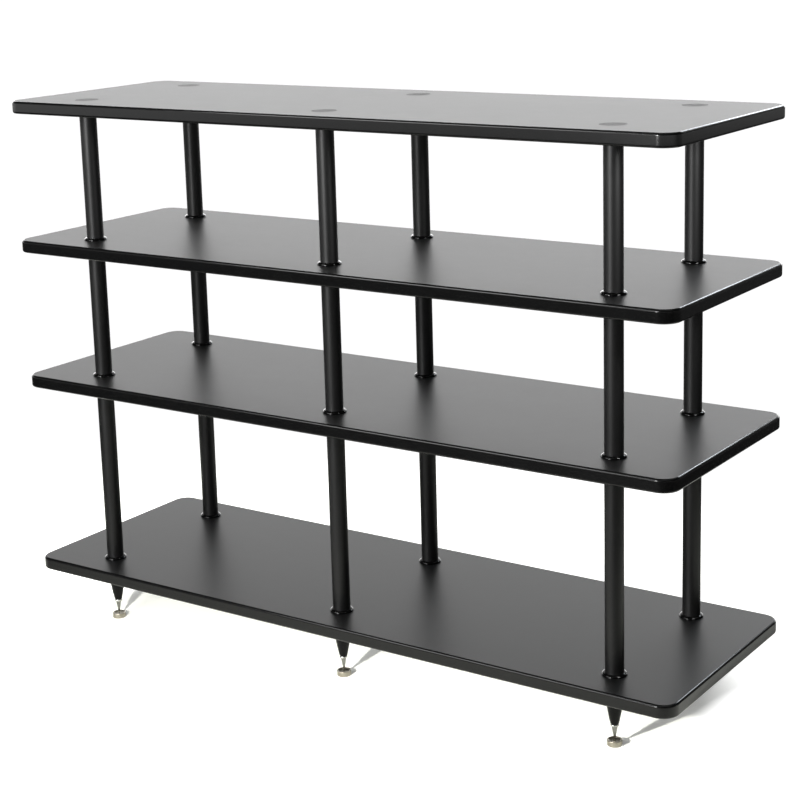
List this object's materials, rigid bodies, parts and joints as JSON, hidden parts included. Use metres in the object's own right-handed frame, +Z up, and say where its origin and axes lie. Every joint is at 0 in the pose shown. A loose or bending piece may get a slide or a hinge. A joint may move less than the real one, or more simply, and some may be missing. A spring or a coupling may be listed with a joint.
{
  "type": "audio equipment rack",
  "caption": "Open audio rack of rounded boards carried on round columns, with a tall record tier and levelling spikes on floor discs.",
  "frame": {"origin": "on the floor under the middle of the rack, at the undersides of the floor discs", "axes": "+X to the right along the width, +Y to the back, +Z up"},
  "size_m": [1.3, 0.415, 0.968],
  "materials": {
    "board": "satin black lacquer on fibreboard",
    "column": "satin black powder coat",
    "zinc_steel": "zinc plated",
    "bolt_head": "satin black",
    "foot_cone": "semi-gloss black",
    "spike_steel": "bright turned steel",
    "nickel": "brushed nickel plate"
  },
  "bodies": {
    "rack": {"shelf_bottom": "board", "shelf_second": "board", "shelf_third": "board", "shelf_top": "board", "column_lower_front_left": "column", "column_middle_front_left": "column", "column_upper_front_left": "column", "stud_second_front_left": "zinc_steel", "stud_third_front_left": "zinc_steel", "top_bolt_front_left": "bolt_head", "foot_cone_front_left": "foot_cone", "column_lower_front_centre": "column", "column_middle_front_centre": "column", "column_upper_front_centre": "column", "stud_second_front_centre": "zinc_steel", "stud_third_front_centre": "zinc_steel", "top_bolt_front_centre": "bolt_head", "foot_cone_front_centre": "foot_cone", "column_lower_front_right": "column", "column_middle_front_right": "column", "column_upper_front_right": "column", "stud_second_front_right": "zinc_steel", "stud_third_front_right": "zinc_steel", "top_bolt_front_right": "bolt_head", "foot_cone_front_right": "foot_cone", "column_lower_back_left": "column", "column_middle_back_left": "column", "column_upper_back_left": "column", "stud_second_back_left": "zinc_steel", "stud_third_back_left": "zinc_steel", "top_bolt_back_left": "bolt_head", "foot_cone_back_left": "foot_cone", "column_lower_back_centre": "column", "column_middle_back_centre": "column", "column_upper_back_centre": "column", "stud_second_back_centre": "zinc_steel", "stud_third_back_centre": "zinc_steel", "top_bolt_back_centre": "bolt_head", "foot_cone_back_centre": "foot_cone", "column_lower_back_right": "column", "column_middle_back_right": "column", "column_upper_back_right": "column", "stud_second_back_right": "zinc_steel", "stud_third_back_right": "zinc_steel", "top_bolt_back_right": "bolt_head", "foot_cone_back_right": "foot_cone"},
    "levelling_disc_front_left": {"floor_disc_front_left": "nickel"},
    "levelling_spike_front_left": {"spike_front_left": "spike_steel"},
    "levelling_disc_front_centre": {"floor_disc_front_centre": "nickel"},
    "levelling_spike_front_centre": {"spike_front_centre": "spike_steel"},
    "levelling_disc_front_right": {"floor_disc_front_right": "nickel"},
    "levelling_spike_front_right": {"spike_front_right": "spike_steel"},
    "levelling_disc_back_left": {"floor_disc_back_left": "nickel"},
    "levelling_spike_back_left": {"spike_back_left": "spike_steel"},
    "levelling_disc_back_centre": {"floor_disc_back_centre": "nickel"},
    "levelling_spike_back_centre": {"spike_back_centre": "spike_steel"},
    "levelling_disc_back_right": {"floor_disc_back_right": "nickel"},
    "levelling_spike_back_right": {"spike_back_right": "spike_steel"}
  },
  "joints": [
    {"name": "foot_drop_front_left", "type": "slide", "parent": "rack", "child": "levelling_disc_front_left", "axis": [0, 0, -1], "range_m": [0, 0.01]},
    {"name": "spike_turn_front_left", "type": "hinge", "parent": "levelling_disc_front_left", "child": "levelling_spike_front_left", "pos_m": [-0.52, -0.137, 0.0063], "axis": [0, 0, -1], "range_deg": [0, 2880]},
    {"name": "foot_drop_front_centre", "type": "slide", "parent": "rack", "child": "levelling_disc_front_centre", "axis": [0, 0, -1], "range_m": [0, 0.01]},
    {"name": "spike_turn_front_centre", "type": "hinge", "parent": "levelling_disc_front_centre", "child": "levelling_spike_front_centre", "pos_m": [0, -0.137, 0.0063], "axis": [0, 0, -1], "range_deg": [0, 2880]},
    {"name": "foot_drop_front_right", "type": "slide", "parent": "rack", "child": "levelling_disc_front_right", "axis": [0, 0, -1], "range_m": [0, 0.01]},
    {"name": "spike_turn_front_right", "type": "hinge", "parent": "levelling_disc_front_right", "child": "levelling_spike_front_right", "pos_m": [0.52, -0.137, 0.0063], "axis": [0, 0, -1], "range_deg": [0, 2880]},
    {"name": "foot_drop_back_left", "type": "slide", "parent": "rack", "child": "levelling_disc_back_left", "axis": [0, 0, -1], "range_m": [0, 0.01]},
    {"name": "spike_turn_back_left", "type": "hinge", "parent": "levelling_disc_back_left", "child": "levelling_spike_back_left", "pos_m": [-0.52, 0.137, 0.0063], "axis": [0, 0, -1], "range_deg": [0, 2880]},
    {"name": "foot_drop_back_centre", "type": "slide", "parent": "rack", "child": "levelling_disc_back_centre", "axis": [0, 0, -1], "range_m": [0, 0.01]},
    {"name": "spike_turn_back_centre", "type": "hinge", "parent": "levelling_disc_back_centre", "child": "levelling_spike_back_centre", "pos_m": [0, 0.137, 0.0063], "axis": [0, 0, -1], "range_deg": [0, 2880]},
    {"name": "foot_drop_back_right", "type": "slide", "parent": "rack", "child": "levelling_disc_back_right", "axis": [0, 0, -1], "range_m": [0, 0.01]},
    {"name": "spike_turn_back_right", "type": "hinge", "parent": "levelling_disc_back_right", "child": "levelling_spike_back_right", "pos_m": [0.52, 0.137, 0.0063], "axis": [0, 0, -1], "range_deg": [0, 2880]}
  ],
  "couplings": [
    {"joint": "spike_turn_front_left", "follows": "foot_drop_front_left", "rad_per_m": 5026.5},
    {"joint": "spike_turn_front_centre", "follows": "foot_drop_front_centre", "rad_per_m": 5026.5},
    {"joint": "spike_turn_front_right", "follows": "foot_drop_front_right", "rad_per_m": 5026.5},
    {"joint": "spike_turn_back_left", "follows": "foot_drop_back_left", "rad_per_m": 5026.5},
    {"joint": "spike_turn_back_centre", "follows": "foot_drop_back_centre", "rad_per_m": 5026.5},
    {"joint": "spike_turn_back_right", "follows": "foot_drop_back_right", "rad_per_m": 5026.5}
  ]
}
